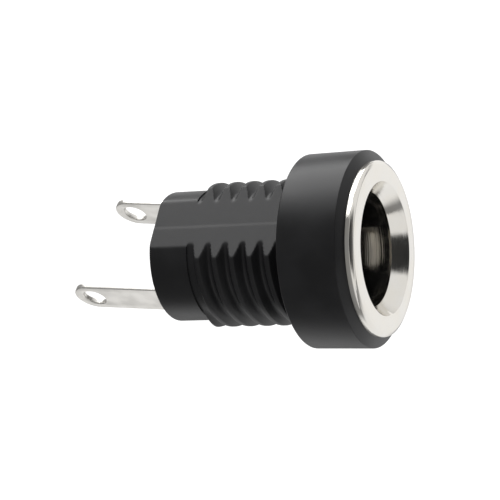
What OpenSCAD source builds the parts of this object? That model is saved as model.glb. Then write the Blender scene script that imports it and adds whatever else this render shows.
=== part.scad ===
// DC barrel jack, threaded for a panel hole, for a plug with a 5.5 mm barrel.
// +X is the axis, out of the mouth. +Z is square to the flats of the threaded shank.
// The origin is on the axis, on the flange face that meets the panel. Millimetres.

/* [Flange] */
// Diameter of the flange at its front rim
flange_d = 10.4; // [10:0.1:12]
// Draft of the flange: how much smaller it is across at the panel face
flange_draft = 0.1; // [0:0.05:0.3]
// Thickness of the flange, from the panel face to the start of the front bevel
flange_t = 3.25; // [3:0.05:4]
// Depth of the front bevel along the axis
bevel_x = 0.3; // [0.1:0.05:0.5]

/* [Threaded shank] */
// Outside diameter of the mounting thread
thread_d = 7.8; // [7.6:0.05:8]
// Pitch of the mounting thread
thread_pitch = 1; // [0.9:0.05:1.1]
// Depth of the thread, crest to root
thread_depth = 0.45; // [0.3:0.05:0.5]
// Length of shank behind the flange that carries thread
thread_len = 5.85; // [5:0.05:6.5]
// Whole length of the shank behind the flange
shank_len = 8.1; // [8:0.1:9]
// Diameter of the plain end of the shank
shank_d = 7.04; // [7:0.02:7.2]
// Distance across the two flats
across_flats = 6.4; // [6.3:0.05:6.6]

/* [Mouth ring] */
// Outside diameter of the ring
ring_d = 9.25; // [9:0.05:9.6]
// How far the ring stands out of the black face that it sits on
ring_stand = 0.45; // [0.35:0.05:0.8]
// Bore of the ring
mouth_d = 6; // [5.8:0.05:6.2]
// Diameter of the countersink at the face of the ring
funnel_d = 7.06; // [6.8:0.02:7.4]
// Depth of the countersink
funnel_depth = 0.8; // [0.5:0.05:1]

/* [Contacts] */
// Diameter of the centre pin
pin_d = 2.1; // [2:0.1:2.5]
// Depth of the pin's tip below the face of the ring
pin_recess = 2.9; // [2.7:0.1:3.5]
// Width of both solder lugs
lug_w = 2.1; // [1.8:0.1:2.2]
// Thickness of the contact strip
strip_t = 0.3; // [0.2:0.05:0.3]
// Diameter of the solder hole in each lug
lug_hole_d = 1.3; // [1:0.05:1.4]
// Reach of the sleeve lug behind the panel face
sleeve_lug_x = 13.85; // [12:0.05:15]
// Reach of the pin lug behind the panel face
pin_lug_x = 12.7; // [11:0.1:14]
// Lean of the sleeve lug towards the axis, in degrees
sleeve_lug_lean = 4; // [0:0.5:6]
// Lean of the pin lug away from the axis, in degrees
pin_lug_lean = 5; // [0:0.5:8]

/* [Hidden] */
$fn = 96;
cut = 0.5;                              // how far a cutter runs past what it cuts

// shank
thread_r = thread_d / 2;
root_r = thread_r - thread_depth;
shank_r = shank_d / 2;
flat_z = across_flats / 2;
rear_edge = 0.12;                       // small bevel round the end of the shank
front_x = flange_t + bevel_x;           // black face that the ring sits on
ring_face_x = front_x + ring_stand;
relief_r = thread_r + 0.1;              // groove round the foot of the thread, so that a panel seats flat
relief_x = 0.1;

// bore of the housing
bore_r = 2.8;                           // clears the 5.5 mm barrel of the plug
pocket_r = 2.9;                         // pocket at the end, for the rear block
block_front_x = -5.7;
block_back_x = -7.5;
spring_slot_z = 0.8;                    // half width of the slot the contact spring flexes into
spring_slot_y = 3.1;
terminal_slot_z = lug_w / 2 + 0.03;     // half width of the slots the terminals leave by
pin_slot_y = 3.02;
sleeve_slot_y = 2.84;

// ring
mouth_r = mouth_d / 2;
tube_r = 3.65;                          // tail of the ring, pressed into the flange
tube_back_x = 1.4;
barb_x = 2.2;                           // front of the barb that holds the ring in
barb_len = 0.45;
barb_h = 0.12;
ring_edge_r = 0.3;                     // rounding of the ring's outer edge

// centre pin
pin_r = pin_d / 2;
pin_tip_x = ring_face_x - pin_recess;
pin_tip_r = 0.4;
pin_foot_r = 1.5;
pin_foot_t = 0.35;
tail_r = 0.6;
rivet_r = 0.9;
rivet_t = 0.3;

// terminals
foot_x = block_back_x - strip_t;        // rear face of the pin terminal's foot
bend_r = 0.15;                          // inside radius of its bend
pin_lug_y = 2.8;                        // middle of the strip
sleeve_lug_y = -2.65;
lean_x = -8.15;                         // where both lugs start to lean
hole_inset = 1.15;                      // hole centre, from the tip of the lug
spring_w = 1.4;
spring_r = 12.6;                        // radius of the bowed spring
spring_top_x = -3;                      // where the spring presses on the plug
spring_top_y = -2.4;
spring_end_x = 0.2;

// thread form, as distance from the middle of the ridge and radius
ridge_foot_r = root_r - 0.07;           // the ridge is sunk into the shank
ridge = [
    [-0.43 * thread_pitch, ridge_foot_r],
    [-0.13 * thread_pitch, thread_r],
    [0.13 * thread_pitch, thread_r],
    [0.43 * thread_pitch, ridge_foot_r],
];
turn_steps = 24;
ridge_phase_x = -0.44;                  // ridge middle at the +Y side, next to the flange
ridge_first_x = -thread_len - 0.1;      // the ridge rises out of the plain end of the shank
ridge_rise_x = 0.08;                    // length over which it rises
ridge_last_x = 0.2;                     // the ridge ends inside the flange

// Lays a shape that was turned about Z along the X axis
module along_x() {
    rotate([0, 90, 0]) children();
}

// A cylinder on the X axis
module rod(x0, x1, r) {
    translate([x0, 0, 0]) along_x() cylinder(h = x1 - x0, r = r);
}

// A cone on the X axis
module cone(x0, x1, r0, r1) {
    translate([x0, 0, 0]) along_x() cylinder(h = x1 - x0, r1 = r0, r2 = r1);
}

// A block between two corners
module block(low, high) {
    translate(low) cube(high - low);
}

// How much of the ridge stands up at x: 1, or at its back end so little that it is sunk in the shank
function ridge_rise(x) = min(1, max(0.1, (x - ridge_first_x) / ridge_rise_x));

// One point of the ridge's section, at turning angle a and ridge middle x
function ridge_point(p, a, x) =
    let (r = ridge_foot_r + (p[1] - ridge_foot_r) * ridge_rise(x))
    [x + p[0], r * cos(a), r * sin(a)];

// The right-hand helical ridge, as one closed skin
module thread_ridge() {
    first = ceil((ridge_first_x - ridge_phase_x) * turn_steps / thread_pitch);
    last = floor((ridge_last_x - ridge_phase_x) * turn_steps / thread_pitch);
    n = len(ridge);
    rings = last - first + 1;
    points = [
        for (k = [first:last])
            for (p = ridge)
                ridge_point(p, k * 360 / turn_steps, ridge_phase_x + k * thread_pitch / turn_steps)
    ];
    sides = [
        for (k = [0:rings - 2])
            for (j = [0:n - 1])
                let (a = k * n + j, b = k * n + (j + 1) % n)
                each [[a, b, b + n], [a, b + n, a + n]]
    ];
    start_cap = [[for (j = [0:n - 1]) n - 1 - j]];
    end_cap = [[for (j = [0:n - 1]) (rings - 1) * n + j]];
    polyhedron(points = points, faces = concat(sides, start_cap, end_cap));
}

// Black outside of the housing, before it is hollowed
module housing_outside() {
    cone(0, flange_t, flange_d / 2 - flange_draft / 2, flange_d / 2);
    cone(flange_t, front_x, flange_d / 2, ring_d / 2);
    rod(-thread_len, flange_t, root_r);
    rod(-shank_len + rear_edge, -thread_len, shank_r);
    cone(-shank_len, -shank_len + rear_edge, shank_r - rear_edge, shank_r);
    thread_ridge();
}

// The two flats, which run the whole length of the shank
module shank_flats() {
    for (side = [0, 1])
        mirror([0, 0, side])
            block([-shank_len - cut, -flange_d, flat_z], [0, flange_d, flange_d]);
}

// Shallow groove in the panel face, round the foot of the thread
module panel_relief() {
    difference() {
        rod(0, relief_x, relief_r);
        rod(-cut, relief_x + cut, root_r);
    }
}

// Space for the ring's tail and its barb
module ring_pocket() {
    rod(tube_back_x, front_x + cut, tube_r);
    cone(barb_x - barb_len, barb_x, tube_r, tube_r + barb_h);
}

// One moulding: flange, threaded shank with flats, and the bore through it
module housing() {
    color("#26262a") difference() {
        housing_outside();
        shank_flats();
        panel_relief();
        rod(-shank_len - cut, tube_back_x + cut, bore_r);
        rod(-shank_len - cut, block_front_x, pocket_r);
        ring_pocket();
        block([block_front_x - cut, -spring_slot_y, -spring_slot_z], [tube_back_x, 0, spring_slot_z]);
        block([-shank_len - cut, -sleeve_slot_y, -terminal_slot_z], [block_front_x, 0, terminal_slot_z]);
        block([-shank_len - cut, 0, -terminal_slot_z], [block_back_x, pin_slot_y, terminal_slot_z]);
    }
}

// A quarter disc, to round the outer corner of a turned section
module rounded_corner(r) {
    intersection() {
        circle(r = r);
        square(r);
    }
}

// Half section of the ring, as radius and distance along the axis
module ring_section() {
    rim = ring_d / 2;
    polygon([
        [mouth_r, tube_back_x],
        [tube_r, tube_back_x],
        [tube_r, barb_x - barb_len],
        [tube_r + barb_h, barb_x],
        [tube_r, barb_x],
        [tube_r, front_x],
        [rim, front_x],
        [rim, ring_face_x - ring_edge_r],
        [rim - ring_edge_r, ring_face_x - ring_edge_r],
        [rim - ring_edge_r, ring_face_x],
        [funnel_d / 2, ring_face_x],
        [mouth_r, ring_face_x - funnel_depth],
    ]);
    translate([rim - ring_edge_r, ring_face_x - ring_edge_r]) rounded_corner(ring_edge_r);
}

// Nickel ring round the mouth, with the tail that lines the first part of the bore
module front_ring() {
    color("#d9d8d2") along_x() rotate_extrude() ring_section();
}

// Black plug that closes the housing and carries both contacts
module rear_block() {
    color("#1d1d20") difference() {
        rod(block_back_x, block_front_x, pocket_r);
        rod(block_back_x - cut, block_front_x + cut, tail_r);
        block([block_back_x - cut, -pocket_r - cut, -lug_w / 2],
            [block_front_x + cut, sleeve_lug_y + strip_t / 2, lug_w / 2]);
    }
}

// Half section of the turned pin, as radius and distance along the axis
module pin_section() {
    square_x = pin_tip_x - pin_tip_r;
    polygon([
        [0, foot_x - rivet_t],
        [rivet_r - 0.15, foot_x - rivet_t],
        [rivet_r, foot_x - 0.1],
        [rivet_r, foot_x],
        [tail_r, foot_x],
        [tail_r, block_front_x],
        [pin_foot_r, block_front_x],
        [pin_foot_r, block_front_x + pin_foot_t],
        [pin_r, block_front_x + pin_foot_t],
        [pin_r, square_x],
        [pin_r - pin_tip_r, square_x],
        [pin_r - pin_tip_r, pin_tip_x],
        [0, pin_tip_x],
    ]);
    translate([pin_r - pin_tip_r, square_x]) rounded_corner(pin_tip_r);
}

// Turned pin, riveted over the foot of its terminal
module centre_pin() {
    color("#cfcdc4") along_x() rotate_extrude() pin_section();
}

// A flat lug from its root at the origin to its rounded tip at -X, with its hole
module lug(length) {
    rotate([90, 0, 0]) translate([0, 0, -strip_t / 2]) difference() {
        union() {
            translate([-length + lug_w / 2, -lug_w / 2, 0]) cube([length - lug_w / 2, lug_w, strip_t]);
            translate([-length + lug_w / 2, 0, 0]) cylinder(h = strip_t, d = lug_w);
            translate([0, -lug_w / 2, strip_t / 2]) rotate([-90, 0, 0]) cylinder(h = lug_w, d = strip_t);
        }
        translate([-length + hole_inset, 0, -cut]) cylinder(h = strip_t + 2 * cut, d = lug_hole_d);
    }
}

// Lug, bend and riveted foot of the centre pin, folded from one strip
module pin_terminal() {
    bend_x = foot_x - bend_r;
    bend_y = pin_lug_y - strip_t / 2 - bend_r;
    color("#d6d4cc") {
        translate([lean_x, pin_lug_y, 0]) rotate([0, 0, -pin_lug_lean]) lug(pin_lug_x + lean_x);
        block([lean_x, pin_lug_y - strip_t / 2, -lug_w / 2], [bend_x, pin_lug_y + strip_t / 2, lug_w / 2]);
        translate([bend_x, bend_y, -lug_w / 2]) rotate_extrude(angle = 90)
            translate([bend_r, 0]) square([strip_t, lug_w]);
        difference() {
            union() {
                block([foot_x, 0, -lug_w / 2], [foot_x + strip_t, bend_y, lug_w / 2]);
                rod(foot_x, foot_x + strip_t, lug_w / 2);
            }
            rod(foot_x - cut, foot_x + strip_t + cut, tail_r);
        }
    }
}

// Bowed contact spring in front of the rear block
module contact_spring() {
    translate([spring_top_x, spring_top_y - spring_r, -spring_w / 2]) intersection() {
        linear_extrude(height = spring_w) difference() {
            circle(r = spring_r + strip_t / 2);
            circle(r = spring_r - strip_t / 2);
        }
        block([block_front_x - spring_top_x, spring_r - 2, 0],
            [spring_end_x - spring_top_x, spring_r + 1, spring_w]);
    }
}

// Lug, strip and contact spring of the plug's sleeve, folded from one strip
module sleeve_contact() {
    strip_low = sleeve_lug_y - strip_t / 2;
    strip_high = sleeve_lug_y + strip_t / 2;
    color("#d6d4cc") {
        translate([lean_x, sleeve_lug_y, 0]) rotate([0, 0, -sleeve_lug_lean]) lug(sleeve_lug_x + lean_x);
        block([lean_x, strip_low, -lug_w / 2], [block_front_x, strip_high, lug_w / 2]);
        contact_spring();
    }
}

housing();
front_ring();
rear_block();
centre_pin();
pin_terminal();
sleeve_contact();
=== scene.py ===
import math

import bmesh
import bpy
from bpy.props import FloatProperty, FloatVectorProperty, PointerProperty
from mathutils import Matrix, Vector


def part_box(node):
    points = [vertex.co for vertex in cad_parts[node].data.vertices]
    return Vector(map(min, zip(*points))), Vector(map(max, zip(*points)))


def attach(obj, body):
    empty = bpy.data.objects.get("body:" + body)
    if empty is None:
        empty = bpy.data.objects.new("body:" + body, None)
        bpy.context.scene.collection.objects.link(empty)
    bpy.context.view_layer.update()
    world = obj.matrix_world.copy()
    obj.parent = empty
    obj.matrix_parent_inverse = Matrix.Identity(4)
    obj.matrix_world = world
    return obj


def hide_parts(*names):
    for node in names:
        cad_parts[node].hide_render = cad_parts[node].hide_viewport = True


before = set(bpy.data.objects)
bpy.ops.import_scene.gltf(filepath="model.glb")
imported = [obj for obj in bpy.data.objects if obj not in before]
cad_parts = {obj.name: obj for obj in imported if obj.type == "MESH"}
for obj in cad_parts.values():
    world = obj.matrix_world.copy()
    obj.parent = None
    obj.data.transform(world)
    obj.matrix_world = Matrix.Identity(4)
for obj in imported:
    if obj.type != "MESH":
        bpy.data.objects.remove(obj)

bl_info = {
    "name": "Panel DC Barrel Jack",
    "version": (1, 0, 0),
    "blender": (4, 5, 0),
    "location": "View3D > Sidebar > Jack",
    "description": "Dresses the solids of a threaded DC barrel jack as moulded and plated pieces",
    "category": "Add Mesh",
}

MM = 0.001  # the pieces are drawn in millimetres and brought to metres when they are done
ROUND_STEPS = 300  # faces round the axis, shared by the shank's thread and what joins it
BODY = "root"
TINY = 1e-6


def reach(node):
    """Lowest and highest corner of a CAD node, in millimetres."""
    low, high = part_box(node)
    return low / MM, high / MM


HOUSING_LOW, HOUSING_HIGH = reach("housing")
RING_LOW, RING_HIGH = reach("front_ring")
BLOCK_LOW, BLOCK_HIGH = reach("rear_block")
PIN_LOW, PIN_HIGH = reach("centre_pin")
PIN_LUG_LOW, PIN_LUG_HIGH = reach("pin_terminal")
SLEEVE_LOW, SLEEVE_HIGH = reach("sleeve_contact")


# ---------------------------------------------------------------- settings


def length(name, description, millimetres):
    """A length setting, with its default in millimetres."""
    return FloatProperty(name=name, description=description, default=millimetres * MM, unit="LENGTH", precision=5)


def lean(name, description, degrees):
    """An angle setting, with its default in degrees."""
    return FloatProperty(name=name, description=description, default=math.radians(degrees), unit="ROTATION")


def share(name, description, value):
    """A setting from 0 to 1."""
    return FloatProperty(name=name, description=description, default=value, min=0, max=1, subtype="FACTOR")


def colour(name, description, value):
    """A linear colour setting."""
    return FloatVectorProperty(name=name, description=description, default=value, size=3, min=0, max=1, subtype="COLOR")


class HousingSizes(bpy.types.PropertyGroup):
    """Sizes of the black moulding"""

    flange_thickness: length("Flange", "Panel face of the flange to the start of its bevel", 3.25)
    draft: length("Draft", "How much smaller in diameter the flange is at the panel face", 0.1)
    rim_rounding: length("Rim rounding", "Rounding of the rim at the panel face", 0.1)
    crease_rounding: length("Crease rounding", "Rounding where the bevel starts", 0.05)
    thread_diameter: length("Thread diameter", "Across the crests", 7.8)
    pitch: length("Pitch", "Advance of the ridge in one turn", 1.0)
    depth: length("Thread depth", "Crest to root", 0.45)
    thread_end: length("Thread length", "Panel face to the plain end of the shank", 5.85)
    ridge_phase: length("Ridge phase", "Middle of a ridge at the +Y side", -0.44)
    shank_diameter: length("Shank diameter", "Across the plain end", 7.04)
    across_flats: length("Across flats", "Distance between the two flats", 6.4)
    bore: length("Bore", "Bore behind the ring", 5.6)
    pocket: length("Pocket", "Bore at the back end, for the block", 5.8)
    slot: length("Slot width", "Width of the slots that the terminals leave by", 2.16)


class RingSizes(bpy.types.PropertyGroup):
    """Sizes of the ring round the mouth"""

    mouth: length("Mouth", "Bore of the ring", 6.0)
    funnel: length("Countersink", "Diameter of the countersink at the face", 7.06)
    funnel_depth: length("Countersink depth", "Depth of the countersink", 0.8)
    tail: length("Tail", "Diameter of the tail that is pressed into the flange", 7.3)
    edge_rounding: length("Edge rounding", "Rounding of the outer edge", 0.32)


class ContactSizes(bpy.types.PropertyGroup):
    """Sizes of the pin and the two contacts"""

    pin: length("Pin", "Diameter of the centre pin", 2.1)
    width: length("Lug width", "Width of both lugs", 2 * PIN_LUG_HIGH.z)
    thickness: length("Strip thickness", "Thickness of both contacts", 0.3)
    hole: length("Solder hole", "Diameter of the hole in each lug", 1.3)
    hole_inset: length("Hole inset", "Middle of the hole from the lug's tip", 1.15)
    edge: length("Edge rounding", "Rounding that stamping and plating leave on the edges", 0.05)
    sleeve_lean: lean("Sleeve lug lean", "Lean of the longer lug towards the axis", 4)
    pin_lean: lean("Pin lug lean", "Lean of the shorter lug away from the axis", 5)


class Finishes(bpy.types.PropertyGroup):
    """Colours and finishes"""

    plastic: colour("Plastic", "Moulded black of the housing", (0.016, 0.016, 0.017))
    plastic_roughness: share("Plastic roughness", "Sheen of the moulding", 0.36)
    nickel: colour("Nickel", "Plating of the ring", (0.78, 0.76, 0.72))
    nickel_roughness: share("Nickel roughness", "Polish of the ring", 0.12)
    tinned: colour("Terminal plating", "Plating of the contacts", (0.83, 0.81, 0.77))
    tinned_roughness: share("Terminal roughness", "Polish of the contacts", 0.36)


# ---------------------------------------------------------------- node trees


class Wire:
    """An output socket that takes part in arithmetic. Each operation adds one Math node."""

    def __init__(self, board, node, output=0):
        self.board = board
        self.node = node
        self.socket = node.outputs[output]

    def output(self, name):
        """Another output of the same node."""
        return Wire(self.board, self.node, name)

    def math(self, operation, *others):
        """A Math node on this value and the others."""
        return self.board.math(operation, self, *others)

    def __add__(self, other):
        return self.math("ADD", other)

    def __radd__(self, other):
        return self.math("ADD", other)

    def __sub__(self, other):
        return self.math("SUBTRACT", other)

    def __rsub__(self, other):
        return self.board.math("SUBTRACT", other, self)

    def __mul__(self, other):
        return self.math("MULTIPLY", other)

    def __rmul__(self, other):
        return self.math("MULTIPLY", other)

    def __truediv__(self, other):
        return self.math("DIVIDE", other)

    def __gt__(self, other):
        return self.math("GREATER_THAN", other)

    def __lt__(self, other):
        return self.math("LESS_THAN", other)


class Board:
    """A node tree that is being built."""

    def __init__(self, tree):
        self.tree = tree

    def node(self, kind, settings=None, sockets=None, output=0):
        """Adds a node: its settings first, then a value or a wire for each socket named or numbered."""
        made = self.tree.nodes.new(kind)
        for name, value in (settings or {}).items():
            if name == "stops":
                self._set_stops(made.color_ramp, value)
            else:
                setattr(made, name, value)
        for name, value in (sockets or {}).items():
            if isinstance(value, Wire):
                self.tree.links.new(value.socket, made.inputs[name])
            else:
                made.inputs[name].default_value = value
        return Wire(self, made, output) if made.outputs else made

    @staticmethod
    def _set_stops(ramp, stops):
        while len(ramp.elements) < len(stops):
            ramp.elements.new(1)
        for element, (place, value) in zip(ramp.elements, stops):
            element.position = place
            element.color = (*value, 1) if hasattr(value, "__len__") else (value, value, value, 1)

    def math(self, operation, *values):
        """A Math node."""
        return self.node("ShaderNodeMath", {"operation": operation}, dict(enumerate(values)))

    def vector(self, operation, *values, output=0):
        """A Vector Math node."""
        return self.node("ShaderNodeVectorMath", {"operation": operation}, dict(enumerate(values)), output)

    def scaled(self, vector, factor):
        """A vector times a number."""
        return self.node("ShaderNodeVectorMath", {"operation": "SCALE"}, {0: vector, "Scale": factor})

    def mix(self, factor, low, high):
        """A blend of two colours."""
        return self.node(
            "ShaderNodeMix", {"data_type": "RGBA"}, {"Factor": factor, 6: low, 7: high}, output=2
        )

    def ramp(self, value, low, high, bottom=0.0, top=1.0):
        """A value from low to high, brought smoothly to bottom to top."""
        return self.node(
            "ShaderNodeMapRange",
            {"interpolation_type": "SMOOTHSTEP"},
            {"Value": value, "From Min": low, "From Max": high, "To Min": bottom, "To Max": top},
        )


# ---------------------------------------------------------------- materials


class Finish(Board):
    """A material that is being built round one Principled shader."""

    def __init__(self, name, constants):
        material = bpy.data.materials.new(name)
        material.use_nodes = True
        super().__init__(material.node_tree)
        self.tree.nodes.clear()
        self.material = material
        self.shader = self.tree.nodes.new("ShaderNodeBsdfPrincipled")
        for socket, value in constants.items():
            self.shader.inputs[socket].default_value = value
        out = self.tree.nodes.new("ShaderNodeOutputMaterial")
        self.tree.links.new(self.shader.outputs[0], out.inputs["Surface"])

    def place(self):
        """Position on the piece, in millimetres."""
        return self.scaled(self.node("ShaderNodeTexCoord").output("Object"), 1 / MM)

    def grain(self, place, per_mm, detail=2.0, roughness=0.5):
        """Soft noise, as a number near 0.5."""
        return self.node(
            "ShaderNodeTexNoise", None, {"Vector": place, "Scale": per_mm, "Detail": detail, "Roughness": roughness}
        )

    def feed(self, **wires):
        """Links wires to the shader's sockets, with _ for a space."""
        for name, wire in wires.items():
            self.tree.links.new(wire.socket, self.shader.inputs[name.replace("_", " ")])

    def bump(self, height, distance_mm, strength=1.0, normal=None):
        """A Bump node for heights from 0 to 1 that stand for distance_mm."""
        sockets = {"Height": height, "Distance": distance_mm * MM, "Strength": strength}
        if normal is not None:
            sockets["Normal"] = normal
        return self.node("ShaderNodeBump", None, sockets)

    def turned_normal(self, place, slope, groove_mm):
        """The surface normal with the fine grooves of turning, which run round the X axis."""
        normal = self.node("ShaderNodeNewGeometry").output("Normal")
        parts = self.node("ShaderNodeSeparateXYZ", None, {0: place})
        across = parts.output("Y") * parts.output("Y") + parts.output("Z") * parts.output("Z")
        radius = across.math("SQRT")
        along = (parts.output("X") + radius) / groove_mm
        tilt = None
        for offset in (0.0, 0.37):
            random = self.node("ShaderNodeTexWhiteNoise", {"noise_dimensions": "1D"}, {"W": (along + offset).math("FLOOR")})
            tilt = random if tilt is None else tilt + random
        round_axis = self.vector("CROSS_PRODUCT", (1.0, 0.0, 0.0), place)
        meridian = self.vector("NORMALIZE", self.vector("CROSS_PRODUCT", round_axis, normal))
        leaned = self.vector("ADD", normal, self.scaled(meridian, (tilt - 1.0) * slope))
        return self.vector("NORMALIZE", leaned)


def moulded_plastic(name, base, roughness):
    """Black moulded plastic: fine spark grain, faint flow marks and a slightly uneven sheen."""
    finish = Finish(name, {"Metallic": 0.0, "IOR": 1.35})
    place = finish.place()
    cloud = finish.grain(place, 0.45, 3.0)
    spark = finish.grain(place, 14.0, 2.0)
    pits = finish.grain(place, 38.0, 1.0)
    lighter = [min(1.0, 1.45 * c) for c in base]
    finish.feed(
        Base_Color=finish.mix(finish.ramp(cloud, 0.35, 0.7), (*base, 1), (*lighter, 1)),
        Roughness=finish.ramp(cloud, 0.3, 0.7, roughness - 0.03, roughness + 0.04) + (spark - 0.5) * 0.1,
        Normal=finish.bump(spark * 0.7 + pits * 0.3, 0.004, 0.5),
    )
    return finish.material


def turned_nickel(name, base, roughness, slope):
    """Nickel plate on a turned piece: grooves round the axis, a warm tint and soft handling marks."""
    finish = Finish(name, {"Metallic": 1.0})
    place = finish.place()
    cloud = finish.grain(place, 0.8, 3.0)
    warm = [base[0], base[1] * 0.985, base[2] * 0.955]
    finish.feed(
        Base_Color=finish.mix(finish.ramp(cloud, 0.3, 0.75), (*base, 1), (*warm, 1)),
        Roughness=finish.ramp(finish.grain(place, 2.2, 4.0), 0.3, 0.75, roughness - 0.04, roughness + 0.06),
        Normal=finish.turned_normal(place, slope, 0.011),
    )
    return finish.material


def plated_strip(name, base, roughness):
    """Nickel plate on stamped strip: rolled grain along the strip, and a slightly dull, uneven gloss."""
    finish = Finish(name, {"Metallic": 1.0})
    place = finish.place()
    drawn = finish.node("ShaderNodeMapping", None, {"Vector": place, "Scale": (0.35, 6.0, 6.0)})
    rolled = finish.grain(drawn, 3.0, 3.0)
    cloud = finish.grain(place, 1.1, 3.0)
    dull = [c * 0.93 for c in base]
    finish.feed(
        Base_Color=finish.mix(finish.ramp(cloud, 0.35, 0.7), (*base, 1), (*dull, 1)),
        Roughness=finish.ramp(cloud, 0.3, 0.7, roughness - 0.05, roughness + 0.05) + (rolled - 0.5) * 0.12,
        Normal=finish.bump(rolled, 0.002, 0.3),
    )
    return finish.material


# ---------------------------------------------------------------- mesh helpers


def rounded(corners, steps=5, closed=True):
    """Points of an outline whose corners are (x, y, rounding)."""
    points = []
    count = len(corners)
    for k, (x, y, radius) in enumerate(corners):
        at_end = not closed and k in (0, count - 1)
        if radius <= 0 or at_end:
            points.append((x, y))
            continue
        corner = Vector((x, y))
        back = (Vector(corners[k - 1][:2]) - corner).normalized()
        ahead = (Vector(corners[(k + 1) % count][:2]) - corner).normalized()
        half = back.angle(ahead) / 2
        middle = corner + (back + ahead).normalized() * radius / math.sin(half)
        start = corner + back * radius / math.tan(half) - middle
        end = corner + ahead * radius / math.tan(half) - middle
        for s in range(steps + 1):
            arm = start.slerp(end, s / steps) if start.angle(end) > TINY else start
            points.append(tuple(middle + arm.normalized() * radius))
    return points


def turned(outline, closed=True, steps=ROUND_STEPS):
    """A mesh turned about the X axis from (x, radius) points, still to be merged or capped."""
    bm = bmesh.new()
    rows = []
    for x, r in outline:
        if r < TINY:
            rows.append([bm.verts.new((x, 0, 0))] * steps)
            continue
        turn = (2 * math.pi * k / steps for k in range(steps))
        rows.append([bm.verts.new((x, r * math.cos(a), r * math.sin(a))) for a in turn])
    pairs = list(zip(rows, rows[1:])) + ([(rows[-1], rows[0])] if closed else [])
    for near, far in pairs:
        for k in range(steps):
            after = (k + 1) % steps
            corners = list(dict.fromkeys([near[k], near[after], far[after], far[k]]))
            if len(corners) > 2:
                bm.faces.new(corners)
    return bm


def block(low, high):
    """A box between two corners, as a cutter."""
    bm = bmesh.new()
    bmesh.ops.create_cube(bm, size=1)
    size = Vector(high) - Vector(low)
    bmesh.ops.scale(bm, vec=size, verts=bm.verts)
    bmesh.ops.translate(bm, vec=Vector(low) + size / 2, verts=bm.verts)
    return bm


def as_object(bm, name):
    """An object from a bmesh, with its faces turned outwards."""
    bmesh.ops.recalc_face_normals(bm, faces=bm.faces)
    mesh = bpy.data.meshes.new(name)
    bm.to_mesh(mesh)
    bm.free()
    piece = bpy.data.objects.new(name, mesh)
    bpy.context.scene.collection.objects.link(piece)
    return piece


def take_result(piece):
    """Replaces a piece's mesh by what its modifiers make, and removes them."""
    bpy.context.view_layer.update()
    result = bpy.data.meshes.new_from_object(piece.evaluated_get(bpy.context.evaluated_depsgraph_get()))
    piece.modifiers.clear()
    piece.data = result
    return piece


def combine(piece, cutter, operation):
    """Adds or cuts away another piece, which is used up."""
    modifier = piece.modifiers.new(operation, "BOOLEAN")
    modifier.operation = operation
    modifier.solver = "EXACT"
    modifier.object = cutter
    take_result(piece)
    bpy.data.objects.remove(cutter)
    return piece


def settle(piece, node, material, sharp_degrees=35):
    """Brings a drawn piece to metres, and gives it its finish and its place in the frame."""
    bm = bmesh.new()
    bm.from_mesh(piece.data)
    bmesh.ops.scale(bm, vec=(MM, MM, MM), verts=bm.verts)
    bmesh.ops.recalc_face_normals(bm, faces=bm.faces)
    limit = math.radians(sharp_degrees)
    for face in bm.faces:
        face.smooth = True
    for edge in bm.edges:
        edge.smooth = edge.calc_face_angle(0.0) < limit
    open_edges = sum(1 for edge in bm.edges if not edge.is_manifold)
    bm.to_mesh(piece.data)
    bm.free()
    if open_edges:
        raise RuntimeError(f"{piece.name} isn't closed: {open_edges} open edges")
    piece.data.materials.clear()
    piece.data.materials.append(material)
    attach(piece, BODY)
    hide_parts(node)
    return piece


# ---------------------------------------------------------------- thread


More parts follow.
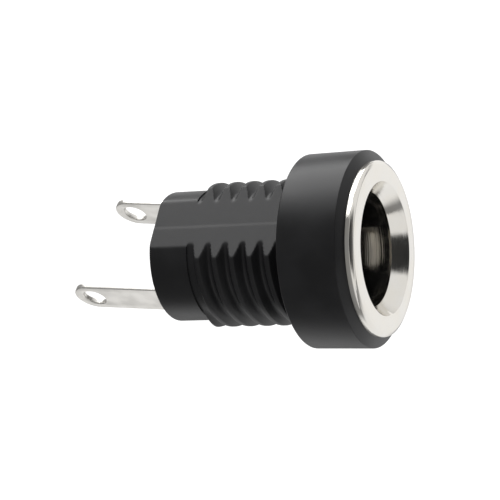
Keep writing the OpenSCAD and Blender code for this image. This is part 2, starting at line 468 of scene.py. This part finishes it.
def thread_tree():
    """A node group that closes a turned blank with a sleeve, and cuts thread and flats into it."""
    tree = bpy.data.node_groups.new("Cut thread and flats", "GeometryNodeTree")
    tree.is_modifier = True
    face = tree.interface
    face.new_socket("Geometry", in_out="OUTPUT", socket_type="NodeSocketGeometry")
    face.new_socket("Geometry", in_out="INPUT", socket_type="NodeSocketGeometry")
    for name in THREAD_INPUTS:
        face.new_socket(name, in_out="INPUT", socket_type="NodeSocketFloat")
    face.new_socket("Material", in_out="INPUT", socket_type="NodeSocketMaterial")
    board = Board(tree)
    given = board.node("NodeGroupInput")
    size = {name: given.output(name) for name in THREAD_INPUTS}

    # the sleeve: one strip, a pitch wide, that winds along the helix with its lines on the ridge
    columns = SLEEVE_COLUMNS + 1
    span = size["Front"] - size["Back"]
    winds = (span / size["Pitch"] + 2.0).math("CEIL")
    grid = board.node(
        "GeometryNodeMeshGrid",
        None,
        {"Vertices X": winds * float(ROUND_STEPS) + 1.0, "Vertices Y": columns},
    )
    index = board.node("GeometryNodeInputIndex")
    step = (index / float(columns)).math("FLOOR")
    column = index - step * float(columns)
    turn = step / float(ROUND_STEPS)
    valley = size["Phase"] - size["Pitch"] * 0.5
    first = ((size["Back"] - valley) / size["Pitch"]).math("FLOOR") - 1.0
    wound = valley + size["Pitch"] * (first + turn + column / float(SLEEVE_COLUMNS))
    x = wound.math("MINIMUM", size["Front"]).math("MAXIMUM", size["Back"])
    angle = turn * (2 * math.pi)
    spot = board.node(
        "ShaderNodeCombineXYZ",
        None,
        {0: x, 1: angle.math("COSINE") * size["Crest radius"], 2: angle.math("SINE") * size["Crest radius"]},
    )
    sleeve = board.node("GeometryNodeSetPosition", None, {"Geometry": grid, "Position": spot})
    joined = board.node("GeometryNodeJoinGeometry")
    for part in (given, sleeve):
        tree.links.new(part.socket, joined.node.inputs[0])
    blank = board.node("GeometryNodeMergeByDistance", None, {"Geometry": joined, "Distance": MERGE})

    # the thread: a ridge of one pitch, rounded at crest and root, that rises at its back end
    place = board.node("ShaderNodeSeparateXYZ", None, {0: board.node("GeometryNodeInputPosition")})
    x, y, z = place.output("X"), place.output("Y"), place.output("Z")
    radius = (y * y + z * z).math("SQRT")
    round_share = z.math("ARCTAN2", y) / (2 * math.pi)
    along = (x - size["Phase"]) / size["Pitch"] - round_share
    turn_number = (along + 0.5).math("FLOOR")
    off_ridge = (along - turn_number).math("ABSOLUTE")
    flank = (ROOT_EDGE - off_ridge) / (ROOT_EDGE - CREST_EDGE)
    ridge = flank.math("SMOOTH_MAX", 0.0, size["Softness"]).math("SMOOTH_MIN", 1.0, size["Softness"])
    ridge_middle = x - (along - turn_number) * size["Pitch"]
    rise = board.ramp(ridge_middle, size["Ridge start"], size["Ridge start"] + size["Ridge rise"])
    depth = size["Depth"] * (1.0 - ridge * rise)
    threaded = (radius - size["Crest radius"]).math("ABSOLUTE") < 10 * MERGE
    cut = (radius - depth) / radius
    turned_to = board.node("ShaderNodeCombineXYZ", None, {0: x, 1: y * cut, 2: z * cut})
    thread = board.node(
        "GeometryNodeSetPosition", None, {"Geometry": blank, "Selection": threaded, "Position": turned_to}
    )

    # the flats, with the witness line of the mould halves along each
    place = board.node("ShaderNodeSeparateXYZ", None, {0: board.node("GeometryNodeInputPosition")})
    x, y, z = place.output("X"), place.output("Y"), place.output("Z")
    on_shank = (x < size["Front"] + MERGE) * ((y * y + z * z).math("SQRT") < size["Crest radius"] + 10 * MERGE)
    step_down = board.ramp(y, size["Witness line"] - WITNESS_WIDTH, size["Witness line"], 0.0, WITNESS_STEP)
    level = size["Flat height"] - step_down
    pressed = z.math("ABSOLUTE").math("SMOOTH_MIN", level, size["Edge softness"]) * z.math("SIGN")
    flattened = board.node("ShaderNodeCombineXYZ", None, {0: x, 1: y, 2: pressed})
    shank = board.node(
        "GeometryNodeSetPosition",
        None,
        {"Geometry": thread, "Selection": on_shank, "Position": flattened},
    )
    real = board.node("GeometryNodeRealizeInstances", None, {"Geometry": shank})
    painted = board.node("GeometryNodeSetMaterial", None, {"Geometry": real, "Material": given.output("Material")})
    board.node("NodeGroupOutput", None, {"Geometry": painted})
    return tree


THREAD_INPUTS = (
    "Front",
    "Back",
    "Crest radius",
    "Pitch",
    "Depth",
    "Phase",
    "Softness",
    "Ridge start",
    "Ridge rise",
    "Flat height",
    "Edge softness",
    "Witness line",
)
SLEEVE_COLUMNS = 16  # points across one pitch
CREST_EDGE = 0.13  # half the crest's width, as a share of the pitch
ROOT_EDGE = 0.39  # where the flank meets the root
MERGE = 0.0015  # closer points than this are one
WITNESS_WIDTH = 0.1
WITNESS_STEP = 0.012


class Millimetres:
    """Reads a settings group with its lengths in millimetres."""

    def __init__(self, group):
        self._group = group

    def __getattr__(self, name):
        return getattr(self._group, name) / MM


# ---------------------------------------------------------------- pieces


def housing_blank(size):
    """The outside of the moulding, turned, and open where the threaded sleeve goes."""
    crest = size.thread_diameter / 2
    rim = HOUSING_HIGH.y
    back_rim = rim - size.draft / 2
    relief_x, relief_r = 0.1, crest + 0.1
    ring_r = RING_HIGH.y
    front = rounded(
        [
            (relief_x, crest, 0),
            (relief_x, relief_r, 0.03),
            (0, relief_r, 0.04),
            (0, back_rim, size.rim_rounding),
            (size.flange_thickness, rim, size.crease_rounding),
            (HOUSING_HIGH.x, ring_r, 0.03),
            (HOUSING_HIGH.x, 0, 0),
        ],
        closed=False,
    )
    shank_r = size.shank_diameter / 2
    back = rounded(
        [
            (HOUSING_LOW.x, 0, 0),
            (HOUSING_LOW.x, shank_r, 0.12),
            (-size.thread_end - 0.03, shank_r, 0.02),
            (-size.thread_end, crest, 0),
        ],
        closed=False,
    )
    blank = turned(front, closed=False)
    rear = turned(back, closed=False)
    mesh = bpy.data.meshes.new("rear")
    rear.to_mesh(mesh)
    rear.free()
    blank.from_mesh(mesh)
    bpy.data.meshes.remove(mesh)
    return blank


def housing_hollow(size):
    """Everything that is cored out of the moulding, as one cutter."""
    beyond = 0.5
    bore, pocket = size.bore / 2, size.pocket / 2
    tail = 3.65
    outline = [
        (HOUSING_LOW.x - beyond, 0),
        (HOUSING_LOW.x - beyond, pocket + 0.1),
        (HOUSING_LOW.x, pocket + 0.1),
        (HOUSING_LOW.x + 0.12, pocket),
        (BLOCK_HIGH.x, pocket),
        (BLOCK_HIGH.x, bore),
        (RING_LOW.x, bore),
        (RING_LOW.x, tail),
        (HOUSING_HIGH.x + beyond, tail),
        (HOUSING_HIGH.x + beyond, 0),
    ]
    hollow = as_object(turned(outline, closed=False, steps=120), "hollow")
    half = size.slot / 2
    slots = [
        ((BLOCK_HIGH.x - beyond, -3.1, -0.8), (RING_LOW.x, 0, 0.8)),
        ((HOUSING_LOW.x - beyond, -2.84, -half), (BLOCK_HIGH.x, 0, half)),
        ((HOUSING_LOW.x - beyond, 0, -half), (BLOCK_LOW.x, 3.02, half)),
    ]
    for k, (low, high) in enumerate(slots):
        combine(hollow, as_object(block(low, high), f"slot{k}"), "UNION")
    return hollow


def build_housing(sizes, finishes):
    """The black moulding: flange, threaded shank with its flats, and its bores."""
    size = Millimetres(sizes)
    plastic = moulded_plastic("black plastic", finishes.plastic, finishes.plastic_roughness)
    piece = as_object(housing_blank(size), "jack_housing")
    modifier = piece.modifiers.new("Thread", "NODES")
    modifier.node_group = thread_tree()
    values = {
        "Front": 0.1,
        "Back": -size.thread_end,
        "Crest radius": size.thread_diameter / 2,
        "Pitch": size.pitch,
        "Depth": size.depth,
        "Phase": size.ridge_phase,
        "Softness": 0.22,
        "Ridge start": -size.thread_end - 0.1,
        "Ridge rise": 0.1,
        "Flat height": size.across_flats / 2,
        "Edge softness": 0.06,
        "Witness line": -0.16,
        "Material": plastic,
    }
    sockets = {s.name: s.identifier for s in modifier.node_group.interface.items_tree if s.in_out == "INPUT"}
    for name, value in values.items():
        modifier[sockets[name]] = value
    take_result(piece)
    combine(piece, housing_hollow(size), "DIFFERENCE")
    return settle(piece, "housing", plastic)


def build_ring(sizes, finishes):
    """The plated ring round the mouth, with the tail that lines the first part of the bore."""
    size = Millimetres(sizes)
    face, back, seat = RING_HIGH.x, RING_LOW.x, HOUSING_HIGH.x
    outer, tail, mouth, dome = RING_HIGH.y, size.tail / 2, size.mouth / 2, size.edge_rounding
    outline = rounded(
        [
            (back, mouth, 0.05),
            (back, tail, 0.05),
            (seat, tail, 0),
            (seat, outer, 0.03),
            (face - 0.45 * dome, outer, 0.12),
            (face - 0.06 * dome, outer - 0.65 * dome, 0.15),
            (face, outer - 1.4 * dome, 0.3),
            (face, size.funnel / 2, 0.04),
            (face - size.funnel_depth, mouth, 0.05),
        ],
        steps=8,
    )
    nickel = turned_nickel("satin nickel", finishes.nickel, finishes.nickel_roughness, 0.06)
    piece = as_object(turned(outline, steps=240), "mouth_ring")
    return settle(piece, "front_ring", nickel)


def build_block(sizes, finishes):
    """The moulded block that closes the housing from behind and holds both contacts."""
    size = Millimetres(sizes)
    back, front, radius = BLOCK_LOW.x, BLOCK_HIGH.x, BLOCK_HIGH.y
    outline = rounded(
        [
            (back, 0.6, 0),
            (back, radius, 0.06),
            (front, radius, 0.06),
            (front, 0.6, 0),
        ]
    )
    piece = as_object(turned(outline, steps=120), "rear_closing_block")
    half = size.width / 2
    strip_face = -2.5
    combine(piece, as_object(block((back - 1, -radius - 1, -half), (front + 1, strip_face, half)), "way"), "DIFFERENCE")
    plastic = moulded_plastic("block plastic", [0.8 * c for c in finishes.plastic], finishes.plastic_roughness + 0.08)
    return settle(piece, "rear_block", plastic)


def build_pin(sizes, finishes):
    """The turned pin, riveted over at the back."""
    size = Millimetres(sizes)
    radius = size.pin / 2
    foot_front = BLOCK_HIGH.x + 0.35
    foot_r = PIN_HIGH.y
    rivet_front = BLOCK_LOW.x - size.thickness
    outline = rounded(
        [
            (PIN_LOW.x, 0, 0),
            (PIN_LOW.x, 0.9, 0.15),
            (rivet_front, 0.9, 0),
            (rivet_front, 0.6, 0),
            (BLOCK_HIGH.x, 0.6, 0),
            (BLOCK_HIGH.x, foot_r, 0.04),
            (foot_front, foot_r, 0.06),
            (foot_front, radius, 0.05),
            (PIN_HIGH.x, radius, 0.4),
            (PIN_HIGH.x, 0, 0),
        ],
        steps=8,
        closed=False,
    )
    nickel = turned_nickel("pin nickel", finishes.nickel, finishes.nickel_roughness + 0.3, 0.15)
    piece = as_object(turned(outline, closed=False, steps=96), "plug_pin")
    return settle(piece, "centre_pin", nickel)


def flat_pattern(outline, holes, thickness, edge):
    """A stamped blank lying in the XY plane, with its edges rounded."""
    curve = bpy.data.curves.new("pattern", "CURVE")
    curve.dimensions = "2D"
    curve.fill_mode = "BOTH"
    curve.extrude = thickness / 2 - edge
    curve.bevel_depth = edge
    curve.bevel_resolution = 2
    curve.offset = -edge
    rings = [outline]
    for x, y, r in holes:
        rings.append([(x + r * math.cos(a), y + r * math.sin(a)) for a in (-2 * math.pi * k / 64 for k in range(64))])
    for ring in rings:
        spline = curve.splines.new("POLY")
        spline.points.add(len(ring) - 1)
        for point, (x, y) in zip(spline.points, ring):
            point.co = (x, y, 0, 1)
        spline.use_cyclic_u = True
    shape = bpy.data.objects.new("pattern", curve)
    bpy.context.scene.collection.objects.link(shape)
    bpy.context.view_layer.update()
    mesh = bpy.data.meshes.new_from_object(shape.evaluated_get(bpy.context.evaluated_depsgraph_get()))
    bpy.data.objects.remove(shape)
    bpy.data.curves.remove(curve)
    bm = bmesh.new()
    bm.from_mesh(mesh)
    bpy.data.meshes.remove(mesh)
    bmesh.ops.remove_doubles(bm, verts=bm.verts, dist=1e-4)
    return bm


def fold(bm, path):
    """Folds a flat blank so that its x runs along a path of (x, y) points, and its y along Z."""
    stations = [0.0]
    for here, there in zip(path, path[1:]):
        stations.append(stations[-1] + math.dist(here, there))
    for station in stations[1:-1]:
        bmesh.ops.bisect_plane(
            bm,
            geom=bm.verts[:] + bm.edges[:] + bm.faces[:],
            dist=1e-4,
            plane_co=(station, 0, 0),
            plane_no=(1, 0, 0),
        )
    directions = [(Vector(b) - Vector(a)).normalized() for a, b in zip(path, path[1:])]
    for vert in bm.verts:
        s, width, rise = vert.co
        leg = max(k for k in range(len(directions)) if stations[k] <= s + 1e-3 or k == 0)
        ahead = directions[leg]
        on_joint = leg > 0 and abs(s - stations[leg]) < 1e-3
        if on_joint:
            bisector = (directions[leg - 1] + ahead).normalized()
            stretch = 1 / bisector.dot(ahead)
            normal = Vector((-bisector.y, bisector.x)) * stretch
        else:
            normal = Vector((-ahead.y, ahead.x))
        spot = Vector(path[leg]) + ahead * (s - stations[leg]) + normal * rise
        vert.co = (spot.x, spot.y, width)
    return bm


def lug_outline(length, half, corners):
    """Outline of a strip from its squared start, given by corners, to its round end at x = length."""
    tip = [
        (length - half + half * math.sin(a), half * math.cos(a))
        for a in (math.pi * k / 32 for k in range(33))
    ]
    return corners + tip


def build_pin_lug(sizes, finishes):
    """The shorter lug, folded down to the foot that the pin is riveted through."""
    size = Millimetres(sizes)
    half, thick, angle = size.width / 2, size.thickness, sizes.pin_lean
    foot_x = BLOCK_LOW.x - thick / 2
    lean_x, lug_y, bend = -8.15, 2.8, 0.15 + thick / 2
    reach_back = lean_x - PIN_LUG_LOW.x
    path = [(foot_x, -half)]
    path += [
        (foot_x - bend + bend * math.cos(a), lug_y - bend + bend * math.sin(a))
        for a in (math.pi / 2 * k / 8 for k in range(9))
    ]
    lug_length = (reach_back - thick / 2 * math.sin(angle)) / math.cos(angle)
    path += [(lean_x, lug_y), (lean_x - lug_length * math.cos(angle), lug_y + lug_length * math.sin(angle))]
    total = sum(math.dist(a, b) for a, b in zip(path, path[1:]))
    foot_end = [
        (half - half * math.sin(a), -half * math.cos(a)) for a in (math.pi * k / 32 for k in range(33))
    ]
    outline = lug_outline(total, half, foot_end)
    holes = [(half, 0, 0.6), (total - size.hole_inset, 0, size.hole / 2)]
    piece = as_object(fold(flat_pattern(outline, holes, thick, size.edge), path), "pin_solder_lug")
    metal = plated_strip("terminal nickel", finishes.tinned, finishes.tinned_roughness)
    return settle(piece, "pin_terminal", metal, 50)


def build_sleeve_lug(sizes, finishes):
    """The longer lug, its strip through the block, and the bowed contact spring."""
    size = Millimetres(sizes)
    half, thick, angle = size.width / 2, size.thickness, sizes.sleeve_lean
    spring_half = 0.7
    lean_x, lug_y = -8.15, -2.65
    top_x, top_y, bow = -3.0, -2.4, 12.6
    start, end = SLEEVE_HIGH.x, BLOCK_HIGH.x
    path = [
        (x, top_y - bow + math.sqrt(bow * bow - (x - top_x) ** 2))
        for x in (start + (end - start) * k / 16 for k in range(17))
    ]
    spring_length = sum(math.dist(a, b) for a, b in zip(path, path[1:]))
    path[-1] = (end, lug_y)
    reach_back = lean_x - SLEEVE_LOW.x
    lug_length = (reach_back - thick / 2 * math.sin(angle)) / math.cos(angle)
    path += [(lean_x, lug_y), (lean_x - lug_length * math.cos(angle), lug_y + lug_length * math.sin(angle))]
    total = sum(math.dist(a, b) for a, b in zip(path, path[1:]))
    root = rounded(
        [
            (total, -half, 0),
            (spring_length, -half, 0.1),
            (spring_length, -spring_half, 0.1),
            (0, -spring_half, 0.2),
            (0, spring_half, 0.2),
            (spring_length, spring_half, 0.1),
            (spring_length, half, 0.1),
            (total, half, 0),
        ],
        closed=False,
    )
    outline = lug_outline(total, half, root[1:-1])
    holes = [(total - size.hole_inset, 0, size.hole / 2)]
    piece = as_object(fold(flat_pattern(outline, holes, thick, size.edge), path), "sleeve_solder_lug")
    metal = plated_strip("contact nickel", finishes.tinned, finishes.tinned_roughness)
    return settle(piece, "sleeve_contact", metal, 50)


# ---------------------------------------------------------------- stage

AIM = Vector((-4.82, 1.365, -1.755))  # point that the camera looks at, in millimetres
AZIMUTH, ELEVATION, ROLL = 40.65, 49.83, -35.5
CAMERA_DISTANCE = 110.0
LENS, SENSOR = 144.0, 36.0
FLOOR_Z = -60.0


def from_angles(azimuth, elevation):
    """Direction towards an azimuth, from -Y round to +X, and an elevation, in degrees."""
    a, e = math.radians(azimuth), math.radians(elevation)
    return Vector((math.sin(a) * math.cos(e), -math.cos(a) * math.cos(e), math.sin(e)))


def facing(direction, roll=0.0):
    """A rotation whose local Z points along direction, turned about it by roll degrees."""
    back = direction.normalized()
    right = Vector((0, 0, 1)).cross(back).normalized()
    up = back.cross(right)
    turn = math.radians(roll)
    right, up = right * math.cos(turn) + up * math.sin(turn), up * math.cos(turn) - right * math.sin(turn)
    return Matrix((right, up, back)).transposed().to_4x4()


def softbox(name, direction, distance, size, radiance, tint=(1, 1, 1)):
    """A square area light that faces the jack, with its brightness given as radiance."""
    light = bpy.data.lights.new(name, "AREA")
    light.shape = "SQUARE"
    light.size = size * MM
    light.energy = radiance * 4 * light.size**2
    light.color = tint
    lamp = bpy.data.objects.new(name, light)
    direction = Vector(direction).normalized()
    lamp.matrix_world = Matrix.Translation((AIM + direction * distance) * MM) @ facing(direction)
    bpy.context.scene.collection.objects.link(lamp)
    return lamp


def build_stage():
    """Camera, lights, surroundings and a pale floor that glows with painted light."""
    scene = bpy.context.scene
    camera = bpy.data.cameras.new("camera")
    camera.lens, camera.sensor_width = LENS, SENSOR
    camera.clip_start, camera.clip_end = 0.001, 10
    view = bpy.data.objects.new("camera", camera)
    direction = from_angles(AZIMUTH, ELEVATION)
    view.matrix_world = Matrix.Translation((AIM + direction * CAMERA_DISTANCE) * MM) @ facing(direction, ROLL)
    scene.collection.objects.link(view)
    scene.camera = view

    softbox("key softbox", (-0.35, 0.84, 0.42), 200, 170, 2.9)
    softbox("overhead softbox", (-0.3, 0.5, 0.82), 220, 120, 1.6)

    world = bpy.data.worlds.new("studio")
    world.use_nodes = True
    scene.world = world
    world.node_tree.nodes.clear()
    board = Board(world.node_tree)
    direction = board.node("ShaderNodeTexCoord").output("Generated")
    towards = board.vector("DOT_PRODUCT", direction, Vector((0.55, -0.3, 0.78)).normalized(), output="Value")
    front = board.vector("DOT_PRODUCT", direction, (1.0, 0.0, 0.0), output="Value")
    ahead = board.vector("DOT_PRODUCT", direction, (0.98, 0.0, 0.2), output="Value")
    tent = board.ramp(front, -0.3, 0.3, 0.25, 0.9)
    level = tent * board.ramp(towards, 0.79, 0.87, 1.0, 0.04) * board.ramp(ahead, 0.86, 0.95, 1.0, 0.1)
    background = board.node("ShaderNodeBackground", None, {"Color": (1, 1, 1, 1), "Strength": level})
    board.node("ShaderNodeOutputWorld", None, {"Surface": background})

    bm = bmesh.new()
    bmesh.ops.create_grid(bm, x_segments=1, y_segments=1, size=0.16)
    bmesh.ops.translate(bm, vec=(0, 0, FLOOR_Z * MM), verts=bm.verts)
    mesh = bpy.data.meshes.new("floor")
    bm.to_mesh(mesh)
    bm.free()
    floor = bpy.data.objects.new("floor", mesh)
    scene.collection.objects.link(floor)
    # The floor glows though it is no lamp: painted light. To the camera it is full white. In reflections and bounced
    # light it shows a painted pool of light round (-5, 42) that fades beyond 90 mm, and a painted dark patch round
    # (-38, 40) beneath the jack.
    glowing_floor = Finish("white acrylic", {"Roughness": 0.8, "Specular IOR Level": 0.2, "Emission Strength": 0.95})
    place = glowing_floor.place()
    away = glowing_floor.vector("DISTANCE", place, (-5.0, 42.0, FLOOR_Z), output="Value")
    near = glowing_floor.vector("DISTANCE", place, (-38.0, 40.0, FLOOR_Z), output="Value")
    seen = glowing_floor.node("ShaderNodeLightPath").output("Is Camera Ray")
    # painted glow: the painted pool of light times the painted dark patch, raised to 1 for camera rays
    painted_glow = (glowing_floor.ramp(away, 90.0, 150.0, 0.85, 0.1) * glowing_floor.ramp(near, 35.0, 65.0, 0.15, 1.0)).math("MAXIMUM", seen)
    glowing_floor.feed(
        Base_Color=glowing_floor.mix(painted_glow, (0.3, 0.3, 0.3, 1), (0.25, 0.25, 0.25, 1)),
        Emission_Color=glowing_floor.mix(painted_glow, (0, 0, 0, 1), (1, 1, 1, 1)),
    )
    floor.data.materials.append(glowing_floor.material)
    scene.view_settings.view_transform = "Standard"
    scene.view_settings.look = "None"


# ---------------------------------------------------------------- operators


class JackOperator:
    """What the jack's operators share."""

    bl_options = {"REGISTER", "UNDO"}


class JACK_OT_housing(JackOperator, bpy.types.Operator):
    """Build the black moulding with its thread and flats"""

    bl_idname = "jack.housing"
    bl_label = "Housing"

    def execute(self, context):
        build_housing(context.scene.jack_housing, context.scene.jack_finishes)
        return {"FINISHED"}


class JACK_OT_ring(JackOperator, bpy.types.Operator):
    """Build the plated ring round the mouth"""

    bl_idname = "jack.ring"
    bl_label = "Mouth ring"

    def execute(self, context):
        build_ring(context.scene.jack_ring, context.scene.jack_finishes)
        return {"FINISHED"}


class JACK_OT_block(JackOperator, bpy.types.Operator):
    """Build the block that closes the housing from behind"""

    bl_idname = "jack.block"
    bl_label = "Rear block"

    def execute(self, context):
        build_block(context.scene.jack_contacts, context.scene.jack_finishes)
        return {"FINISHED"}


class JACK_OT_pin(JackOperator, bpy.types.Operator):
    """Build the turned centre pin"""

    bl_idname = "jack.pin"
    bl_label = "Centre pin"

    def execute(self, context):
        build_pin(context.scene.jack_contacts, context.scene.jack_finishes)
        return {"FINISHED"}


class JACK_OT_lugs(JackOperator, bpy.types.Operator):
    """Build both stamped and folded contacts with their solder lugs"""

    bl_idname = "jack.lugs"
    bl_label = "Solder lugs"

    def execute(self, context):
        build_pin_lug(context.scene.jack_contacts, context.scene.jack_finishes)
        build_sleeve_lug(context.scene.jack_contacts, context.scene.jack_finishes)
        return {"FINISHED"}


class JACK_OT_stage(JackOperator, bpy.types.Operator):
    """Set up the camera, the lights and the floor"""

    bl_idname = "jack.stage"
    bl_label = "Stage"

    def execute(self, context):
        build_stage()
        return {"FINISHED"}


OPERATORS = (JACK_OT_stage, JACK_OT_housing, JACK_OT_ring, JACK_OT_block, JACK_OT_pin, JACK_OT_lugs)


class JACK_PT_pieces(bpy.types.Panel):
    """Lists the jack's pieces and their sizes"""

    bl_idname = "JACK_PT_pieces"
    bl_label = "DC barrel jack"
    bl_space_type = "VIEW_3D"
    bl_region_type = "UI"
    bl_category = "Jack"

    def draw(self, context):
        for operator in OPERATORS:
            self.layout.operator(operator.bl_idname)
        for name in GROUPS:
            group = getattr(context.scene, name)
            box = self.layout.box()
            for setting in group.bl_rna.properties:
                if setting.identifier not in ("rna_type", "name"):
                    box.prop(group, setting.identifier)


GROUPS = {
    "jack_housing": HousingSizes,
    "jack_ring": RingSizes,
    "jack_contacts": ContactSizes,
    "jack_finishes": Finishes,
}


def register():
    """Registers the settings, the operators and the panel."""
    for name, group in GROUPS.items():
        bpy.utils.register_class(group)
        setattr(bpy.types.Scene, name, PointerProperty(type=group))
    for cls in (*OPERATORS, JACK_PT_pieces):
        bpy.utils.register_class(cls)


def unregister():
    """Removes what register added."""
    for cls in (JACK_PT_pieces, *reversed(OPERATORS)):
        bpy.utils.unregister_class(cls)
    for name, group in GROUPS.items():
        delattr(bpy.types.Scene, name)
        bpy.utils.unregister_class(group)


def main():
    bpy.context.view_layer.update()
    register()
    for operator in OPERATORS:
        group, name = operator.bl_idname.split(".")
        getattr(getattr(bpy.ops, group), name)()


if __name__ == "__main__":
    main()
